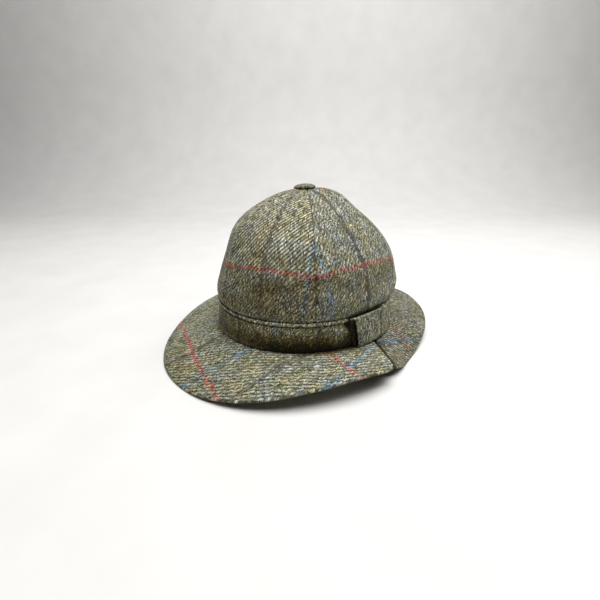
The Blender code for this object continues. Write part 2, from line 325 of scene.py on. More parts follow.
def makeTweed(name, look):
    material, shader, wire = startMaterial(name, look["surface"])
    spot = wire.add("ShaderNodeUVMap", {"uv_map": "cloth"}, {})
    x, y = spot.part(0), spot.part(1)
    scale, warpWander, weftWander = look["wander"]
    wander = wire.noiseAt(spot, scale, 1.0) - 0.5
    scale, reach = look["hair"]
    hairy = (wire.noiseAt(spot, scale, 1.0) - 0.5) * reach
    u = x / look["warpPitch"] + wander * warpWander + hairy
    v = y / look["weftPitch"] - wander * weftWander + hairy
    warpYarn = u.floor()
    weftYarn = v.floor()
    overWarp = u - warpYarn - 0.5
    overWeft = v - weftYarn - 0.5

    # A 2/2 twill: each yarn passes over two and under two, one step further on the next yarn.
    slipSize = y.spread(-look["slipReach"], look["slipReach"], *look["slip"])
    slip = ((wire.noiseAt(spot, look["slipScale"], 1.0) - 0.5) * slipSize + 0.5).floor()
    cycle = (warpYarn - weftYarn + slip) / 4.0 + 0.125
    phase = cycle.fract() * 4.0 - 0.5
    warpTop = phase < 1.5
    across = warpTop.pick(overWeft, overWarp)
    along = warpTop.pick(phase - 2.5 + overWarp, 0.5 - phase + overWeft)
    arch = (1.0 - along * along) * (1.0 - look["yarnRound"])
    height = (1.0 - across * across * 4.0) * look["yarnRound"] + arch

    # Each visible bit of yarn has a tone of its own, and each yarn a tone that drifts along it.
    # The last number of a point keeps one draw apart from the others.
    yarn = warpTop.pick(weftYarn * 3.71 + 900.0, warpYarn * 3.71)
    bit = cycle.floor()
    run = warpTop.pick(u, v)
    driftPace, huePace = look["pace"]
    chance = wire.chanceAt(wire.point(yarn, bit, 3.0))
    other = wire.chanceAt(wire.point(yarn, bit, 8.0))
    speck = wire.chanceAt(wire.point(warpYarn, weftYarn, 5.0))
    drift = wire.noiseAt(wire.point(yarn, run * driftPace, 0.0), 1.0, 1.0)
    hue = wire.noiseAt(wire.point(yarn, run * huePace, 7.0), 1.0, 1.0)

    # Which yarns belong to a line of the overcheck, midway in its repeat.
    def lineOf(place, repeat, yarns, fray):
        return (place.fract() - 0.5).math("ABSOLUTE") * look[repeat] + other * fray < look[yarns]

    def yarnMix(cool, plain, warm):
        stops = list(zip(look["hueStops"], (look[cool], look[plain], look[plain], look[warm])))
        return wire.add("ShaderNodeValToRGB", {"stops": stops}, {0: hue})

    warpPlace = (warpYarn + 0.5) / look["warpRepeat"]
    weftPlace = (weftYarn + 0.5) / look["weftRepeat"]
    darkLine = lineOf(warpPlace + 0.5, "warpRepeat", "darkYarns", look["fray"][0])
    blueLine = lineOf(warpPlace, "warpRepeat", "blueYarns", look["fray"][1])
    blueLine = blueLine * ((warpPlace / 3.0).fract() > 2.0 / 3.0).pick(1.0, look["faintBlue"])
    redLine = lineOf(weftPlace + 0.5, "weftRepeat", "redYarns", look["fray"][2])
    crossLine = lineOf(weftPlace, "weftRepeat", "redYarns", look["fray"][3])
    warpColor = darkLine.tint(yarnMix("coolPale", "pale", "warmPale"), look["dusk"])
    warpColor = blueLine.tint(warpColor, look["blue"])
    warpColor = (redLine * look["redBlend"]).tint(warpColor, look["red"])
    weftColor = yarnMix("coolOlive", "olive", "warmOlive")
    weftColor = (crossLine * look["crossDusk"]).tint(weftColor, look["dusk"])
    weftColor = redLine.tint(weftColor, look["red"])
    color = warpTop.tint(weftColor, warpColor)
    color = ((chance > 1.0 - look["fleckShare"]) * look["fleck"]).tint(color, look["rust"])
    color = ((chance < look["fleckShare"]) * look["fleck"]).tint(color, look["teal"])

    # Patches several yarns across are lighter or darker, and yellower or bluer.
    patch = (wire.noiseAt(spot, 1.0 / look["patchSize"], 2.0, 0.6) - 0.5) * look["patchTone"] + 1.0
    turned = wire.point(y + 0.3, x, 0.0)
    hueShift = (wire.noiseAt(turned, 1.0 / look["hueSize"], 1.0, 0.4) - 0.5) * look["hueTone"] + 0.5
    # How much shade is painted on the cloth here: up to 1 darker and browner, and painted light, lighter,
    # under 0.
    paintedShadingMask = wire.add("ShaderNodeAttribute", {"attribute_name": "crease"}, {}, 2)
    tone = chance.spread(0.0, 1.0, 1.0 - look["floatTone"], 1.0 + look["floatTone"])
    tone = tone * speck.spread(0.0, 1.0, 1.0 - look["speckTone"], 1.0 + look["speckTone"])
    tone = tone * drift.spread(*look["drift"]) * height.spread(0.0, 1.0, *look["yarnShade"])
    tone = tone * patch * (1.0 - paintedShadingMask) * look["light"]
    red, green, blue = look["cast"]
    grey = wire.point(tone * red, tone * green, tone * tone.spread(*look["blueShade"]) * blue)
    color = wire.product(color, hueShift.tint(look["coolTint"], look["warmTint"]))
    color = wire.product(color, paintedShadingMask.tint((1.0, 1.0, 1.0, 1.0), look["shade"]))
    color = wire.product(color, grey)

    scale, strength = look["fuzz"]
    relief = height + wire.noiseAt(spot, scale, 2.0) * strength
    values = {"Strength": look["bump"], "Distance": look["relief"], "Height": relief}
    bump = wire.add("ShaderNodeBump", {}, values)
    wire.tree.links.new(color.socket, shader.inputs["Base Color"])
    wire.tree.links.new(bump.socket, shader.inputs["Normal"])
    return material


print("cloth")
buttonCloth = makeTweed("buttonTweed", buttonTweed)
crownCloth = makeTweed("crownTweed", crownTweed)
sideCloth = makeTweed("sideTweed", sideTweed)
brimCloth = makeTweed("brimTweed", brimTweed)
rearCloth = makeTweed("rearTweed", rearTweed)
loopCloth = makeTweed("loopTweed", loopTweed)
bandCloth = makeTweed("bandTweed", bandTweed)


def addObject(name, data):
    made = bpy.data.objects.new(name, data)
    bpy.context.scene.collection.objects.link(made)
    return made


def addMesh(name, form, material):
    mesh = bpy.data.meshes.new(name)
    form.to_mesh(mesh)
    form.free()
    mesh.shade_smooth()
    mesh.materials.append(material)
    return addObject(name, mesh)


# Closes a piece and gives it its place in the hat.
def finishPiece(name, form, material, nodes=(), cut=None):
    bmesh.ops.recalc_face_normals(form, faces=form.faces)
    if form.calc_volume(signed=True) < 0.0:
        bmesh.ops.reverse_faces(form, faces=form.faces)
    piece = addMesh(name, form, material)
    piece.data.set_sharp_from_angle(angle=math.radians(hat["sharpAngle"]))
    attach(piece, "root")
    if nodes:
        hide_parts(*nodes)
    if cut:
        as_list(cut["restsOn"])


# A sheet of cloth: a flat grid made two deep. place gives the points of its face and back, cloth its place
# on the flat cloth in metres, and the third function how much shade is painted there, up to 1, or light
# under 0.
def makeSheet(name, across, up, place, cloth, crease, material, node, cut):
    form = bmesh.new()
    layer = form.loops.layers.uv.new("cloth")
    shade = form.verts.layers.float.new("crease")
    columns = len(across) - 1
    rows = len(up) - 1
    bmesh.ops.create_grid(form, x_segments=columns, y_segments=rows, size=0.5)
    grown = bmesh.ops.extrude_face_region(form, geom=form.faces[:])
    for item in grown["geom"]:
        if isinstance(item, bmesh.types.BMVert):
            item.co.z = 1.0
    sides = {}
    spots = {}
    for point in form.verts:
        spot = (round((point.co.x + 0.5) * columns), round((point.co.y + 0.5) * rows))
        spots[point] = spot
        if spot not in sides:
            sides[spot] = place(across[spot[0]], up[spot[1]])
        point[shade] = crease(across[spot[0]], up[spot[1]])
        point.co = sides[spot][1 if point.co.z > 0.5 else 0]
    flat = {spot: cloth(spot, sides[spot][0]) for spot in sides}
    for face in form.faces:
        for corner in face.loops:
            corner[layer].uv = flat[spots[corner.vert]]
    finishPiece(name, form, material, [node], cut)


# The crown. Rings: height in mm, size over the band's oval at mid-panel, how much fuller the back is than
# the front in mm, and how far the seams stand out as a share of the radius. Dents: azimuth, height,
# half-width in degrees, half-height and depth in mm.
crown = {
    "panels": 6,
    "turn": 3.8,  # degrees that the worn crown's front seam has moved round
    "step": 1.3 * mm,
    "columns": (50.0 * mm, 1.5 * mm, 3.0 * mm, 8),  # half-width, step, and finer ones by a seam
    "fineSteps": 600,
    "probe": (1.0, 0.05),  # degrees and rings to each side, for the face's direction
    "topRise": 13.5,
    "cut": {  # the rectangle that a panel is cut from, and its flat area
        "flat": (101.0 * mm, 176.0 * mm), "area": 0.0136,
        "held": "stretched", "restsOn": ["brim_front", "brim_rear"],
    },
    "seamGap": 0.06 * mm,
    "seamDip": 1.0 * mm,
    "seamReach": 1.1 * mm,
    "seamCloth": 0.6 * mm,  # left under the dip
    "seamShade": 0.42,
    "seamShadeReach": 0.8 * mm,
    "seamTipReach": 0.2,  # the most of the crown's radius that the dip reaches
    "allowance": 6.0 * mm,  # cloth turned in along a seam, which lifts the face
    "allowanceFull": 0.7,  # share of it that is fully lifted
    "allowanceLift": 0.35 * mm,
    "pucker": 0.16 * mm,
    "puckerLength": 7.0 * mm,
    "puckerAngle": 3.0,
    "redHeight": 100.0,  # in mm, of the red line at mid-panel
    "goreShare": 0.45,  # how far the cloth's cross lines follow the flat cut
    "lean": (0.0, 0.08, 0.03, -0.04, 0.02, -0.03),  # of the lines over each panel
    "leanUnder": 135.0 * mm,
    "shift": (-0.8, 77.6, 2.5, -2.0, 1.5, 77.0),  # of the lines over each panel, in mm
    "redLine": (  # of each panel: rise of the red line in mm, its slope, and its bend per mm
        (0.6, 0.055, -0.0013), (1.6, 0, -0.0018), (0, 0, 0), (0, 0, 0), (-6, -0.135, 0), (-6.5, 0.08, 0),
    ),
    "rings": (
        (24.8, 0.977, 0, 0.000), (39, 0.967, 0.6, 0.000), (52, 0.966, 1.2, 0.002),
        (59, 1.004, 1.6, 0.006), (68, 1.016, 3.2, 0.012), (79, 0.985, 3.6, 0.018),
        (91, 0.942, 3.8, 0.024), (103, 0.894, 3.4, 0.030), (115, 0.832, 1.3, 0.036),
        (127, 0.741, -1.9, 0.042), (138, 0.616, -3.5, 0.046), (148, 0.461, -2.7, 0.046),
        (156, 0.296, -0.2, 0.040), (160.2, 0.140, 1, 0.020), (161.2, 0.040, 0, 0.000),
    ),
    "dents": (
        (62, 94, 50, 13, -6), (64, 89.5, 12, 5.5, 2.2), (38, 82, 17, 13, 1.2), (69, 79, 8, 6, -1.4),
        (16, 78, 5, 13, 1.4), (7, 76, 5, 14, -0.7), (117, 79, 14, 14, 2), (45, 114, 16, 9, -1.5),
        (230, 84, 18, 12, 1.8), (150, 154.5, 55, 8.5, -2.9), (150, 162.2, 60, 2.2, 1.6),
    ),
    # Patches of painted shade and light: the same, with how dark, or lighter under 0, for the depth.
    "patches": (
        (28, 69, 26, 9, 0.35), (40, 85, 18, 7, 0.36), (95, 78, 25, 11, 0.14), (82, 94, 9, 6, 0.18),
        (68, 103, 8, 5, 0.12), (95, 103, 9, 5, 0.12), (112, 90, 12, 10, 0.24), (-14, 92, 14, 17, 0.18),
        (-22, 74, 12, 9, 0.14), (47, 124, 25, 10, -0.52), (30, 150, 60, 12, -0.18),
    ),
}


def seamAngle(azimuth):
    pitch = 360.0 / crown["panels"]
    return abs((azimuth - crown["turn"] + pitch / 2.0) % pitch - pitch / 2.0)


# The sum of soft round patches at a place on the crown.
def patchSum(patches, azimuth, height):
    total = 0.0
    for middle, level, halfAngle, halfHeight, strength in patches:
        across = ((azimuth - middle + 180.0) % 360.0 - 180.0) / halfAngle
        along = (height / mm - level) / halfHeight
        total += strength * math.exp(-across * across - along * along)
    return total


def crownForm(azimuth, rise):
    height, scale, full, ridge = readRows(crown["rings"], rise)
    fromMiddle = 1.0 - seamAngle(azimuth) / (180.0 / crown["panels"])
    point = onOval(azimuth) * scale * (1.0 + ridge * fromMiddle**2)
    point += ovalNormal(azimuth) * full * mm * -math.cos(math.radians(azimuth))
    point.z = height * mm
    return point


# The crown's face and back at a place. The cloth rolls over into each seam.
def crownSides(azimuth, rise):
    here = crownForm(azimuth, rise)
    turn, step = crown["probe"]
    along = crownForm(azimuth + turn, rise) - crownForm(azimuth - turn, rise)
    up = crownForm(azimuth, rise + step) - crownForm(azimuth, max(rise - step, 0.0))
    normal = along.cross(up).normalized()
    girth = math.hypot(here.x, here.y)
    offSeam = girth * math.radians(seamAngle(azimuth))
    reach = min(crown["seamReach"], crown["seamTipReach"] * girth)
    dip = crown["seamDip"] * hump(offSeam, 0.0, reach)
    allowance = crown["allowance"]
    flat = smoothStep(offSeam, crown["allowanceFull"] * allowance, allowance)
    lift = crown["allowanceLift"] * (1.0 - flat)
    wave = noise.noise(Vector((here.z / crown["puckerLength"], azimuth // crown["puckerAngle"], 3.0)))
    pucker = crown["pucker"] * wave * hump(offSeam, 0.0, allowance)
    sunk = patchSum(crown["dents"], azimuth, here.z) * mm - rippleAt(here)
    face = here - normal * (sunk + dip - lift - pucker)
    back = here - normal * (sunk + max(hat["cloth"], dip + crown["seamCloth"]))
    return face, back


# Places among the rings, evenly spaced up the middle of a panel.
def crownRises():
    middle = crown["turn"] + 180.0 / crown["panels"]
    steps = crown["fineSteps"]
    fine = [crown["topRise"] * k / steps for k in range(steps + 1)]
    lengths = [0.0]
    for low, high in zip(fine, fine[1:]):
        lengths.append(lengths[-1] + (crownForm(middle, high) - crownForm(middle, low)).length)
    count = round(lengths[-1] / crown["step"])
    rises = []
    index = 0
    for k in range(count + 1):
        wanted = lengths[-1] * k / count
        while index < len(fine) - 2 and lengths[index + 1] < wanted:
            index += 1
        share = (wanted - lengths[index]) / (lengths[index + 1] - lengths[index])
        rises.append(fine[index] + (fine[index + 1] - fine[index]) * min(max(share, 0.0), 1.0))
    return rises


# Where the points of a panel lie on the flat cloth: from its middle line, and up from the red line.
def panelCloth(panel, azimuthOf, across, rises):
    form = [[crownForm(azimuthOf(side, rise), rise) for rise in rises] for side in across]
    middle = len(across) // 2
    redPlace = placeOf(crown["rings"], crown["redHeight"])
    flat = {}
    sideways = [[0.0] * len(rises) for _ in across]
    for way, columns in ((1, range(middle + 1, len(across))), (-1, range(middle - 1, -1, -1))):
        for column in columns:
            for row in range(len(rises)):
                step = (form[column][row] - form[column - way][row]).length
                sideways[column][row] = sideways[column - way][row] + way * step
    redLength = 0.0
    for column in [middle] + [k for k in range(len(across)) if k != middle]:
        down = 0.0
        for row in range(len(rises) - 1, -1, -1):
            if row < len(rises) - 1:
                run = (form[column][row] - form[column][row + 1]).length
                turned = sideways[column][row] - sideways[column][row + 1]
                cut = math.sqrt(max(run * run - turned * turned, 0.0))
                down += run + (cut - run) * crown["goreShare"]
                if column == middle and rises[row] <= redPlace < rises[row + 1]:
                    redLength = down
            under = max(crown["leanUnder"] - form[column][row].z, 0.0)
            u = sideways[column][row] - crown["lean"][panel] * under
            rise, slope, bend = crown["redLine"][panel]
            raised = rise * mm + slope * u + bend * u * u / mm
            flat[(column, row)] = [u - crown["shift"][panel] * mm, -down - raised]
    for place in flat.values():
        place[1] += redLength
    return flat


def makePanel(panel):
    pitch = 360.0 / crown["panels"]
    middle = crown["turn"] + pitch * (panel + 0.5)
    half = stations(*crown["columns"])
    across = [-side for side in reversed(half[1:])] + half
    rises = crownRises()

    def azimuthOf(side, rise):
        spot = crownForm(middle, rise)
        margin = math.degrees(0.5 * crown["seamGap"] / math.hypot(spot.x, spot.y))
        return middle + side * (pitch * 0.5 - margin)

    flat = panelCloth(panel, azimuthOf, across, rises)

    def place(side, rise):
        return crownSides(azimuthOf(side, rise), rise)

    def cloth(spot, _):
        return flat[spot]

    # Painted shade along each seam, and the patches: painted shade, or painted light where they are under 0.
    def crease(side, rise):
        spot = crownForm(middle, rise)
        offSeam = math.hypot(spot.x, spot.y) * math.radians((1.0 - abs(side)) * pitch * 0.5)
        paintedPatches = patchSum(crown["patches"], azimuthOf(side, rise), spot.z)
        return crown["seamShade"] * hump(offSeam, 0.0, crown["seamShadeReach"]) + paintedPatches

    name = f"crownPanel{panel + 1}"
    node = f"crown_panel_{panel + 1}"
    material = crownCloth if panel in (0, 4, 5) else sideCloth
    makeSheet(name, across, rises, place, cloth, crease, material, node, crown["cut"])


print("crown")
for panel in range(crown["panels"]):
    makePanel(panel)


# The band. Folds: share of its height from the lower edge up, and how far the face stands out in mm.
band = {
    "height": 29.0 * mm,
    "cut": {
        "flat": (593.0 * mm, 30.0 * mm), "area": 0.0177,
        "held": "folded", "restsOn": [f"crown_panel_{panel + 1}" for panel in range(6)],
    },
    "base": 24.8 * mm,
    "stand": 0.5 * mm,  # of the band's back from the crown's face
    "join": 100.0,  # azimuth where its ends meet, under the loop
    "endGap": 0.3 * mm,
    "length": 590.0 * mm,  # for the spacing of its columns
    "step": 1.3 * mm,
    "rows": 44,
    "ripple": (0.5, 11.0),  # share of the cloth's unevenness, and its seed
    "darkLine": 16.4,  # azimuth of one of the cloth's dark lines
    "groove": (0.86, 0.022),  # share of its height, and half-height, as for the edge and fold
    "grooveShade": 0.5,
    "cord": (0.915, 0.965),  # where the painted highlight along its cord starts and is full
    "cordShine": 0.45,
    "edge": (0.0, 0.07),
    "edgeShade": 0.66,  # of its lower edge, away from the wearer's left
    "fold": (0.16, 0.05),
    "foldShine": 0.16,  # of the fold just over that edge
    "leftSide": (5.0, 45.0, 115.0, 170.0),  # azimuths
    "darkest": 0.97,
    "shades": (  # share of its height, and how dark its painted shade is at the front and on the wearer's left
        (0.00, 0.29, 0.97), (0.09, 0.38, 0.97), (0.28, 0.61, 0.89), (0.49, 0.40, 0.46),
        (0.68, 0.27, 0.08), (0.80, 0.25, 0.00), (1.00, 0.15, 0.00),
    ),
    "loopEdge": (  # share of its height, and azimuth from which it is painted in shade beside and under the loop
        (0.00, 85.8), (0.20, 85.6), (0.40, 84.8), (0.60, 83.2), (0.76, 80.6), (0.86, 80), (0.89, 82.4),
        (1.00, 82.6),
    ),
    "puff": (77.5, 0.42, 4.0, 0.22),  # azimuth, share of its height, and half-sizes of its swelling
    "puffOut": 0.9 * mm,
    "puffShine": 0.3,
    "loopSide": (-0.8, 0.8, 25.0, 30.0),  # degrees behind the loop's edge
    "loopShade": 0.96,
    "clothStart": 20.0 * mm,  # how far over a red line the band's lower edge was cut
    "stitchUp": 0.845,  # share of its height
    "stitchEvery": 3.0 * mm,
    "stitchLength": 2.2 * mm,
    "stitchThread": 0.5 * mm,
    "stitchSides": 6,
    "stitchOut": 0.1 * mm,  # of its middle from the face
    "stitchTurn": 0.4,  # share of its length from its middle
    "stitchSunk": 0.6,  # how deep its ends are sunk, in threads
    "thread": {
        "Base Color": (0.045, 0.042, 0.028, 1.0), "Roughness": 0.85, "Specular IOR Level": 0.2,
    },
    "folds": (
        (0.00, -1.2), (0.04, -0.2), (0.12, 0.3), (0.30, 0.2), (0.55, 0.3), (0.82, 0.1), (0.86, -0.7),
        (0.91, 0.5), (0.96, 0.6), (1.00, -0.3),
    ),
}


def roundCrown(azimuth, height, out):
    rise = placeOf(crown["rings"], height / mm)
    return crownForm(azimuth, rise) + ovalNormal(azimuth) * out


# Where the band swells before it passes through the loop, 0 to 1.
def puffAt(azimuth, share):
    middle, level, halfAngle, halfShare = band["puff"]
    return math.exp(-(((azimuth % 360.0 - middle) / halfAngle) ** 2) - ((share - level) / halfShare) ** 2)


# The band's own unevenness at a point, outward.
def bandRipple(azimuth, point):
    share, seed = band["ripple"]
    return ovalNormal(azimuth) * share * rippleAt(point, seed)


def makeBand():
    margin = math.degrees(0.5 * band["endGap"] / hat["halfWidth"])
    span = 360.0 - 2.0 * margin
    across = stations(band["length"], band["step"])
    up = [place / band["rows"] for place in range(band["rows"] + 1)]
    start = ovalLength(band["join"] - 360.0) - ovalLength(band["darkLine"])
    arcs = {}

    def azimuthOf(side):
        return band["join"] + margin + side * span

    def place(side, upper):
        azimuth = azimuthOf(side)
        share, out = readRows(band["folds"], upper * (len(band["folds"]) - 1))
        height = band["base"] + share * band["height"]
        out = out * mm + band["puffOut"] * puffAt(azimuth, share)
        face = roundCrown(azimuth, height, band["stand"] + hat["cloth"] + out)
        face += bandRipple(azimuth, face)
        return face, roundCrown(azimuth, height, band["stand"])

    def cloth(spot, point):
        if spot[0] not in arcs:
            arcs[spot[0]] = start + ovalLength(azimuthOf(across[spot[0]])) - ovalLength(azimuthOf(0.0))
        return arcs[spot[0]], point.z - band["base"] + band["clothStart"]

    # Painted shade in the groove under the cord, along the lower edge, darker toward the bottom, and beside
    # and under the loop; painted highlight on the cord, on the fold over the edge and on the swelling before
    # the loop.
    def crease(side, upper):
        share = readRows(band["folds"], upper * (len(band["folds"]) - 1))[0]
        azimuth = azimuthOf(side) % 360.0
        _, front, left = rowAt(band["shades"], share)
        onLeft = between(azimuth, *band["leftSide"])
        left = front + (left - front) * onLeft
        groove = band["grooveShade"] * hump(share, *band["groove"])
        edge = band["edgeShade"] * hump(share, *band["edge"])
        edge -= band["foldShine"] * hump(share, *band["fold"])
        shade = min(groove + left + edge * (1.0 - onLeft), band["darkest"])
        shade -= band["cordShine"] * smoothStep(share, *band["cord"])
        shade -= band["puffShine"] * puffAt(azimuth, share)
        if azimuth < 180.0:
            beside = azimuth - rowAt(band["loopEdge"], share)[1]
            shade += (band["loopShade"] - shade) * between(beside, *band["loopSide"])
        return shade

    cut = band["cut"]
    makeSheet("hatBand", across, up, place, cloth, crease, bandCloth, "hat_band", cut)


# One row of stitches under the band's cord, each a short rod with its ends sunk in the cloth.
def makeStitches():
    form = bmesh.new()
    shade = form.verts.layers.float.new("crease")
    count = round(ovalLength(360.0) / band["stitchEvery"])
    for index in range(count):
        azimuth = band["join"] + 360.0 * (index + 0.5) / count
        height = band["base"] + band["stitchUp"] * band["height"]
        here = roundCrown(azimuth, height, band["stand"] + hat["cloth"] + band["stitchOut"])
        ahead = roundCrown(azimuth + 1.0, height, 0.0) - roundCrown(azimuth - 1.0, height, 0.0)
        ahead.normalize()
        out = ovalNormal(azimuth)
        here += bandRipple(azimuth, here)
        turn = Matrix((out, ahead.cross(out), ahead)).transposed().to_4x4()
        rod = bmesh.ops.create_cone(
            form, cap_ends=True, segments=band["stitchSides"], depth=band["stitchLength"],
            radius1=0.5 * band["stitchThread"], radius2=0.5 * band["stitchThread"],
            matrix=Matrix.Translation(here) @ turn,
        )
        for point in rod["verts"]:
            point[shade] = 0.0
            if abs((point.co - here).dot(ahead)) > band["stitchTurn"] * band["stitchLength"]:
                point.co -= out * band["stitchSunk"] * band["stitchThread"]
    finishPiece("bandStitches", form, startMaterial("thread", band["thread"])[0])


print("band")
makeBand()
makeStitches()


# The loop over the band. Turns: its section, out from the band's face and up from its lower edge, in mm.
loop = {
    "cloth": 1.4 * mm,
    "cut": {"flat": (54.0 * mm, 66.0 * mm), "area": 0.00356, "held": "folded", "restsOn": ["hat_band"]},
    "span": (84.8, 118.5),
    "settle": 0.25,  # how much flatter it lies at its rear end
    "lean": 3.5,  # degrees by which its front end's top is further forward than its foot
    "recess": 1.8,  # degrees by which the outer layer's front end lies further back
    "recessFrom": (1.5 * mm, 5.0 * mm),  # out from the band, where that starts and is full
    "tops": (  # share of its width, and its height there as a share of the section's
        (0.00, 1.05), (0.15, 1.08), (0.40, 1.12), (0.65, 1.12), (0.82, 1.05), (0.92, 0.95), (1.00, 0.82),
    ),
    "innerShade": 0.93,
    "innerEnd": (4.8, 5.6),  # places in its section between which that dark ends
    "innerFront": (0.05, 0.8),  # share of its width at the front that is less dark, and how much
    "rearShade": 0.16,
    "rearFrom": 0.4,  # share of its width
    "probe": 0.1,  # of its section to each side, for the wall's direction
    "columns": 44,
    "rows": 150,
    "darkLine": 0.575,  # share of its width
    "clothStart": 88.0 * mm,
    "turns": (
        (1.8, 1.6), (0.7, 2.8), (0.5, 7), (0.5, 14), (0.5, 21), (0.8, 27), (2.4, 29.4), (4.8, 29.2),
        (6.4, 26), (7.3, 19), (7.5, 12), (7, 5), (5.6, 1.8), (3.6, 0.9),
    ),
}


def makeLoop():
    width = ovalLength(loop["span"][1]) - ovalLength(loop["span"][0])
    across = [place / loop["columns"] for place in range(loop["columns"] + 1)]
    up = [place / loop["rows"] for place in range(loop["rows"] + 1)]
    last = len(loop["turns"]) - 1
    stand = band["stand"] + hat["cloth"]
    lengths = [0.0]
    for low, high in zip(up, up[1:]):
        near = Vector(readRows(loop["turns"], low * last))
        far = Vector(readRows(loop["turns"], high * last))
        lengths.append(lengths[-1] + (far - near).length * mm)

    def place(side, upper):
        spot = upper * last
        settled = 1.0 - loop["settle"] * side
        sides = []
        for near in (spot, min(spot + loop["probe"], float(last)), max(spot - loop["probe"], 0.0)):
            out, height = readRows(loop["turns"], near)
            sides.append(Vector((stand + out * settled * mm, height * mm)))
        here, ahead, behind = sides
        run = (ahead - behind).normalized()
        inner = here + Vector((run.y, -run.x)) * loop["cloth"]
        taller = rowAt(loop["tops"], side)[1]
        points = []
        for point in (here, inner):
            lean = loop["lean"] * (0.5 - point.y / band["height"])
            lean += loop["recess"] * smoothStep(point.x - stand, *loop["recessFrom"])
            azimuth = loop["span"][0] + side * (loop["span"][1] - loop["span"][0]) + lean * (1.0 - side)
            points.append(roundCrown(azimuth, band["base"] + point.y * taller, point.x))
        return points

    def cloth(spot, _):
        u = (across[spot[0]] - loop["darkLine"]) * width
        return u, loop["clothStart"] - lengths[spot[1]]

    # Painted shade inside the loop and toward its rear end.
    def crease(side, upper):
        inner = 1.0 - smoothStep(upper * last, *loop["innerEnd"])
        front, dim = loop["innerFront"]
        shade = loop["innerShade"] * (1.0 if side > front else dim)
        return shade * inner + loop["rearShade"] * (1.0 - inner) * smoothStep(side, loop["rearFrom"], 1.0)

    cut = loop["cut"]
    makeSheet("bandLoop", across, up, place, cloth, crease, loopCloth, "band_loop", cut)


print("loop")
makeLoop()


# The brim. Edges: azimuth, distance from the hat's middle and height of the face, in degrees and mm.
brim = {
    "cloth": 3.0 * mm,
    "frontCut": {"flat": (261.0 * mm, 182.0 * mm), "area": 0.0234, "held": "stretched", "restsOn": []},
    "rearCut": {
        "flat": (250.0 * mm, 172.0 * mm), "area": 0.0194,
        "held": "stretched", "restsOn": ["brim_front"],
    },
    "halfLength": 215.0 * mm,  # and its width, for the spacing of its points
    "width": 50.0 * mm,
    "step": 1.9 * mm,
    "belly": 1.8 * mm,
    "margin": 4.6 * mm,  # under the band and the crown
    "touch": 0.2 * mm,  # least height of its face
    "rippleFull": 15.0 * mm,  # out from the band
    "rippleSeed": 5.0,
    "slitRootBack": 19.5 * mm,  # how far behind the hat's middle the front half ends, at the band
    "slitEdgeBack": 12.5 * mm,  # and at the brim's edge
    "overlap": 22.0 * mm,
    "lapDrop": 3.5 * mm,
    "lapRise": 7.0 * mm,  # how far behind the slit the rear half has come up
    "corner": 7.0 * mm,
    "footShade": 0.9,  # of the crevice under the band
    "footStart": 0.6 * mm,
    "shadeReach": 1.4 * mm,
    "leftReach": 2.0,  # how much further it reaches on the wearer's left
    "frontFoot": 0.25,  # share of it away from the wearer's left
    "leftSide": (40.0, 75.0, 98.0, 125.0),  # azimuths
    "footShine": 0.16,  # of the cloth just beyond the crevice
    "shineAt": (5.0 * mm, 5.0 * mm),  # out from the band, and half-width
    "frontShade": 0.16,  # how much darker the cloth is at its front edge
    "frontSide": (122.0 * mm, 150.0 * mm),  # forward from the hat's middle
    "slitShade": 0.9,
    "slitDark": (3.8 * mm, 3.2 * mm, 2.4 * mm),  # how wide, how much wider at the edge, how soft
    "redWeft": 31.2 * mm,  # from the hat's middle forward to a red line
    # In mm, how the front half's lines lean out from a place, turn in beyond another at the front and
    # bend back beyond a third at the side, and the tilt of its cross lines up to a place.
    "leanFrom": (-55.0, 0.2, 0.0025, 121.0),
    "turnFrom": (-120.0, 0.005),
    "bendFrom": (105.0, 0.004),
    "tilt": (0.11, 20.0),
    "rearShift": 56.0 * mm,
    "rearWeft": 162.0 * mm,
    "frontEdge": (
        (0, 159.5, 2.4), (15, 157.5, 3), (30, 152, 6.6), (45, 144.5, 13), (60, 137, 18.4),
        (75, 132, 20.8), (90, 130, 17.8), (105, 128, 13.5),
    ),
    "rearEdge": (
        (75, 124, 17.5), (90, 124, 13.5), (102, 125, 8.4), (114, 123.3, 2.4), (128, 128.3, 5.4),
        (144, 139.2, 12), (160, 150.8, 15.6), (180, 159.5, 18),
    ),
}


def brimEdge(rows, azimuth):
    _, radius, height = rowAt(rows, abs((azimuth + 180.0) % 360.0 - 180.0))
    turn = math.radians(azimuth)
    return Vector((radius * math.sin(turn), -radius * math.cos(turn), height)) * mm


def brimPoint(rows, azimuth, share):
    return onOval(azimuth).lerp(brimEdge(rows, azimuth), share)


def brimReach(rows, azimuth):
    return (brimEdge(rows, azimuth).xy - onOval(azimuth).xy).length


def brimHeight(rows, azimuth, out):
    if out <= 0.0:
        return hat["rootHeight"]
    share = out / brimReach(rows, azimuth)
    slope = (brimEdge(rows, azimuth).z - hat["rootHeight"]) * share
    return hat["rootHeight"] + slope + brim["belly"] * 4.0 * share * (1.0 - share)


def frontHeight(azimuth, out):
    return brimHeight(brim["frontEdge"], azimuth, out)


def slitBack(share):
    return brim["slitRootBack"] + (brim["slitEdgeBack"] - brim["slitRootBack"]) * share


def rearHeight(azimuth, out):
    under = frontHeight(azimuth, out) - brim["lapDrop"]
    own = brimHeight(brim["rearEdge"], azimuth, out)
    share = max(out, 0.0) / brimReach(brim["rearEdge"], azimuth)
    point = brimPoint(brim["rearEdge"], azimuth, share)
    return under + (own - under) * smoothStep(point.y - slitBack(share), 0.0, brim["lapRise"])


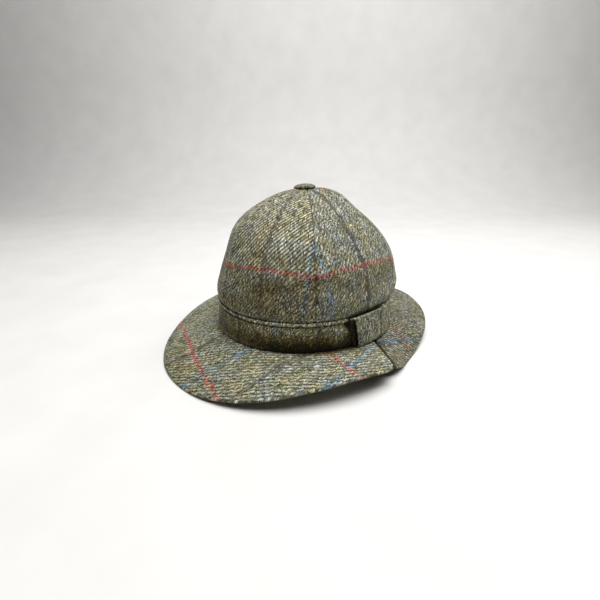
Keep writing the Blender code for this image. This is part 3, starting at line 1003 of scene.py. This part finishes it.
def frontSpot(_, point):
    x = point.x / mm
    y = point.y / mm
    start, share, bend, width = brim["leanFrom"]
    ahead = max(y - start, 0.0)
    lean = share * ahead + bend * ahead * ahead
    start, turn = brim["turnFrom"]
    far = min(y - start, 0.0)
    u = x * (1.0 + lean / width) + turn * far * far
    start, bend = brim["bendFrom"]
    back = bend * max(u - start, 0.0) ** 2
    tilt, limit = brim["tilt"]
    return u * mm, (y + tilt * min(x, limit) - back) * mm + brim["redWeft"]


def rearSpot(_, point):
    return point.x - brim["rearShift"], point.y - brim["rearWeft"]


def makeBrim(name, node, rows, heightAt, middle, overlap, clothAt, material, cut):
    sideRadius = rowAt(rows, 90.0)[1] * mm
    radius = 0.5 * brim["cloth"]
    half = stations(brim["halfLength"], brim["step"], radius)
    across = [-side for side in reversed(half[1:])] + half
    up = [-1.0, -0.5] + stations(brim["width"], brim["step"], radius)

    # Azimuth, the brim's reach there, and a place's distances out, from the edge and from the end.
    def spotOf(side, upper):
        share = max(upper, 0.0)
        halfWidth = hat["halfLength"] + (sideRadius - hat["halfLength"]) * share
        end = math.degrees(math.acos(-(slitBack(share) - overlap) / halfWidth))
        azimuth = middle + side * abs(middle - end)
        reach = brimReach(rows, azimuth)
        fromEnd = (1.0 - abs(side)) * math.radians(abs(middle - end)) * sideRadius
        corner = brim["corner"]
        rounded = corner - math.sqrt(corner**2 - max(corner - fromEnd, 0.0) ** 2)
        out = upper * (reach - rounded) if upper > 0.0 else upper * brim["margin"]
        return azimuth, reach, out, (1.0 - share) * (reach - rounded), fromEnd

    def place(side, upper):
        azimuth, reach, out, fromEdge, fromEnd = spotOf(side, upper)
        inside = min(fromEdge, fromEnd, radius)
        thick = math.sqrt(max(radius**2 - (radius - inside) ** 2, 0.0))
        flat = brimPoint(rows, azimuth, out / reach)
        flat.z = 0.0
        level = heightAt(azimuth, out) - radius
        level += rippleAt(flat, brim["rippleSeed"]) * smoothStep(out, 0.0, brim["rippleFull"])
        face = flat.copy()
        face.z = max(level + thick, brim["touch"])
        back = flat.copy()
        back.z = max(level - thick, 0.0)
        return face, back

    # Painted shade in the crevice under the band and along the slit behind the front half, painted highlight
    # just beyond the crevice, and cloth darker toward the front edge.
    def crease(side, upper):
        azimuth, reach, out = spotOf(side, upper)[:3]
        left = between(azimuth, *brim["leftSide"])
        reached = brim["shadeReach"] * (1.0 + brim["leftReach"] * left)
        foot = brim["footShade"] * (brim["frontFoot"] + (1.0 - brim["frontFoot"]) * left)
        shade = foot * hump(max(out - brim["footStart"], 0.0), 0.0, reached)
        shade -= brim["footShine"] * (1.0 - left) * hump(out, *brim["shineAt"])
        share = max(out, 0.0) / reach
        point = brimPoint(rows, azimuth, share)
        shade += brim["frontShade"] * smoothStep(-point.y, *brim["frontSide"])
        if overlap:
            behind = point.y - slitBack(share)
            wide, wider, soft = brim["slitDark"]
            dark = wide + wider * share**3
            shade = max(shade, brim["slitShade"] * (1.0 - smoothStep(behind, dark, dark + soft)))
        return shade

    makeSheet(name, across, up, place, clothAt, crease, material, node, cut)


print("brim")
cut = brim["frontCut"]
makeBrim("brimFront", "brim_front", brim["frontEdge"], frontHeight, 0.0, 0.0, frontSpot, brimCloth, cut)
cut = brim["rearCut"]
lap = brim["overlap"]
makeBrim("brimRear", "brim_rear", brim["rearEdge"], rearHeight, 180.0, lap, rearSpot, rearCloth, cut)


# The covered button. Profile: radius and height over its seat, in mm.
button = {
    "seat": 161.0 * mm,
    "shift": (-0.9 * mm, -1.3 * mm),  # of its middle from the seams' meeting point
    "tilt": 3.0,
    "sides": 96,
    "steps": 6,  # rows of faces between two rows of the profile
    "gathers": 13,
    "gatherDepth": 0.25 * mm,
    "gatherFrom": 5.0 * mm,  # out from its middle
    "gatherTop": (1.0 * mm, 3.4 * mm),  # heights between which they end
    "gatherShade": 0.55,
    "clothSpot": (20.0 * mm, 24.0 * mm),  # of its middle on the cloth
    "profile": (
        (0, -3.4), (2.2, -3.4), (2.6, -0.3), (9.2, 0), (10.4, 0.4), (10.8, 1.3), (10.3, 2.4), (8.7, 3.4),
        (6, 4.1), (3, 4.5), (0, 4.6),
    ),
}


def makeButton():
    form = bmesh.new()
    profile = button["profile"]
    count = (len(profile) - 1) * button["steps"]
    rows = [readRows(profile, (len(profile) - 1) * k / count) for k in range(count + 1)]
    rows[0][0] = rows[-1][0] = 0.0
    points = [form.verts.new((max(out, 0.0) * mm, 0.0, up * mm)) for out, up in rows]
    edges = [form.edges.new(pair) for pair in zip(points, points[1:])]
    bmesh.ops.spin(
        form, geom=points + edges, cent=(0.0, 0.0, 0.0), axis=(0.0, 0.0, 1.0),
        angle=2.0 * math.pi, steps=button["sides"], use_merge=True,
    )
    bmesh.ops.remove_doubles(form, verts=form.verts, dist=hat["weld"])
    layer = form.loops.layers.uv.new("cloth")
    shade = form.verts.layers.float.new("crease")
    x, y = button["clothSpot"]
    for face in form.faces:
        for corner in face.loops:
            corner[layer].uv = (corner.vert.co.x + x, corner.vert.co.y + y)
    for point in form.verts:
        turn = math.atan2(point.co.y, point.co.x)
        low = 1.0 - smoothStep(point.co.z, *button["gatherTop"])
        gather = button["gatherDepth"] * math.sin(button["gathers"] * turn) * low
        radius = math.hypot(point.co.x, point.co.y)
        if radius > button["gatherFrom"]:
            point.co.x *= 1.0 + gather / radius
            point.co.y *= 1.0 + gather / radius
        point[shade] = button["gatherShade"] * low
    seat = Matrix.Translation((*button["shift"], button["seat"]))
    turned = seat @ Matrix.Rotation(math.radians(button["tilt"]), 4, "X")
    bmesh.ops.transform(form, matrix=turned, verts=form.verts)
    finishPiece("topButton", form, buttonCloth, ["top_button"])


print("button")
makeButton()


# Camera, lights, floor and backdrop.
studio = {
    "cameraPlace": (0.2995, -0.2020, 0.1911),
    "cameraHeading": (-0.8387, 0.5446),
    "cameraPitch": 22.85,
    "camera": {"lens": 20.496, "sensor_width": 36.0, "clip_start": 0.01},
    "floorColor": (0.80, 0.79, 0.77, 1.0),
    "floorPaint": {"Roughness": 0.6, "Specular IOR Level": 0.2},
    "mottleScale": 14.0,
    "mottle": (0.3, 0.7, 0.97, 1.03),  # range of the mottling, and its tones
    "floorDrop": 0.1 * mm,
    "floorSize": 3.0,
    "sweep": {"offset": 0.5, "segments": 16},  # between the floor and the backdrop
    "wallHeight": 2.2,
    "wallAway": 1.3,
    "lights": (  # azimuth, elevation, distance, size in metres, power
        ("overLight", 0.0, 90.0, 1.5, 1.3, 20.5),
        ("backLight", 147.0, 68.0, 1.5, 1.2, 18.0),
    ),
    "lightCentre": (0.0, 0.0, 0.08),
    "worldColor": (1.0, 0.99, 0.96, 1.0),
    "worldStrength": 0.03,
}


def makeStudio():
    scene = bpy.context.scene
    camera = addObject("camera", bpy.data.cameras.new("camera"))
    for name, value in studio["camera"].items():
        setattr(camera.data, name, value)
    camera.location = studio["cameraPlace"]
    ahead = Vector((*studio["cameraHeading"], 0.0)).normalized()
    pitch = math.radians(studio["cameraPitch"])
    look = ahead * math.cos(pitch) - Vector((0.0, 0.0, math.sin(pitch)))
    camera.rotation_mode = "QUATERNION"
    camera.rotation_quaternion = look.to_track_quat("-Z", "Y")
    scene.camera = camera

    for name, azimuth, elevation, away, size, power in studio["lights"]:
        turn = math.radians(azimuth)
        rise = math.radians(elevation)
        toLight = Vector((math.sin(turn) * math.cos(rise), -math.cos(turn) * math.cos(rise), math.sin(rise)))
        light = addObject(name, bpy.data.lights.new(name, "AREA"))
        light.data.size = size
        light.data.energy = power
        light.location = Vector(studio["lightCentre"]) + toLight * away
        light.rotation_mode = "QUATERNION"
        light.rotation_quaternion = (-toLight).to_track_quat("-Z", "Y")

    world = bpy.data.worlds.new("studio")
    world.use_nodes = True
    sky = world.node_tree.nodes["Background"]
    sky.inputs["Color"].default_value = studio["worldColor"]
    sky.inputs["Strength"].default_value = studio["worldStrength"]
    scene.world = world

    material, shader, wire = startMaterial("floorPaint", studio["floorPaint"])
    spot = wire.add("ShaderNodeTexCoord", {}, {}, 3)
    mottle = wire.noiseAt(spot, studio["mottleScale"], 4.0).spread(*studio["mottle"])
    color = wire.product(studio["floorColor"], wire.point(mottle, mottle, mottle))
    wire.tree.links.new(color.socket, shader.inputs["Base Color"])

    # The floor sweeps up into the backdrop behind the hat.
    form = bmesh.new()
    bmesh.ops.create_grid(form, x_segments=1, y_segments=1, size=studio["floorSize"] / 2)
    away = studio["floorSize"] / 2 - studio["wallAway"]
    bmesh.ops.translate(form, verts=form.verts, vec=(0.0, -away, 0.0))
    far = [edge for edge in form.edges if all(point.co.y > 0.0 for point in edge.verts)]
    raised = bmesh.ops.extrude_edge_only(form, edges=far)
    top = [item for item in raised["geom"] if isinstance(item, bmesh.types.BMVert)]
    bmesh.ops.translate(form, verts=top, vec=(0.0, 0.0, studio["wallHeight"]))
    bmesh.ops.bevel(form, geom=far, affect="EDGES", profile=0.5, material=-1, **studio["sweep"])
    heading = math.atan2(ahead.y, ahead.x) - math.pi / 2
    bmesh.ops.rotate(form, cent=(0.0, 0.0, 0.0), matrix=Matrix.Rotation(heading, 3, "Z"), verts=form.verts)
    bmesh.ops.translate(form, verts=form.verts, vec=(0.0, 0.0, -studio["floorDrop"]))
    bmesh.ops.recalc_face_normals(form, faces=form.faces)
    floor = addMesh("floor", form, material)
    scene.view_settings.view_transform = "Standard"


print("studio")
makeStudio()

print("ready")
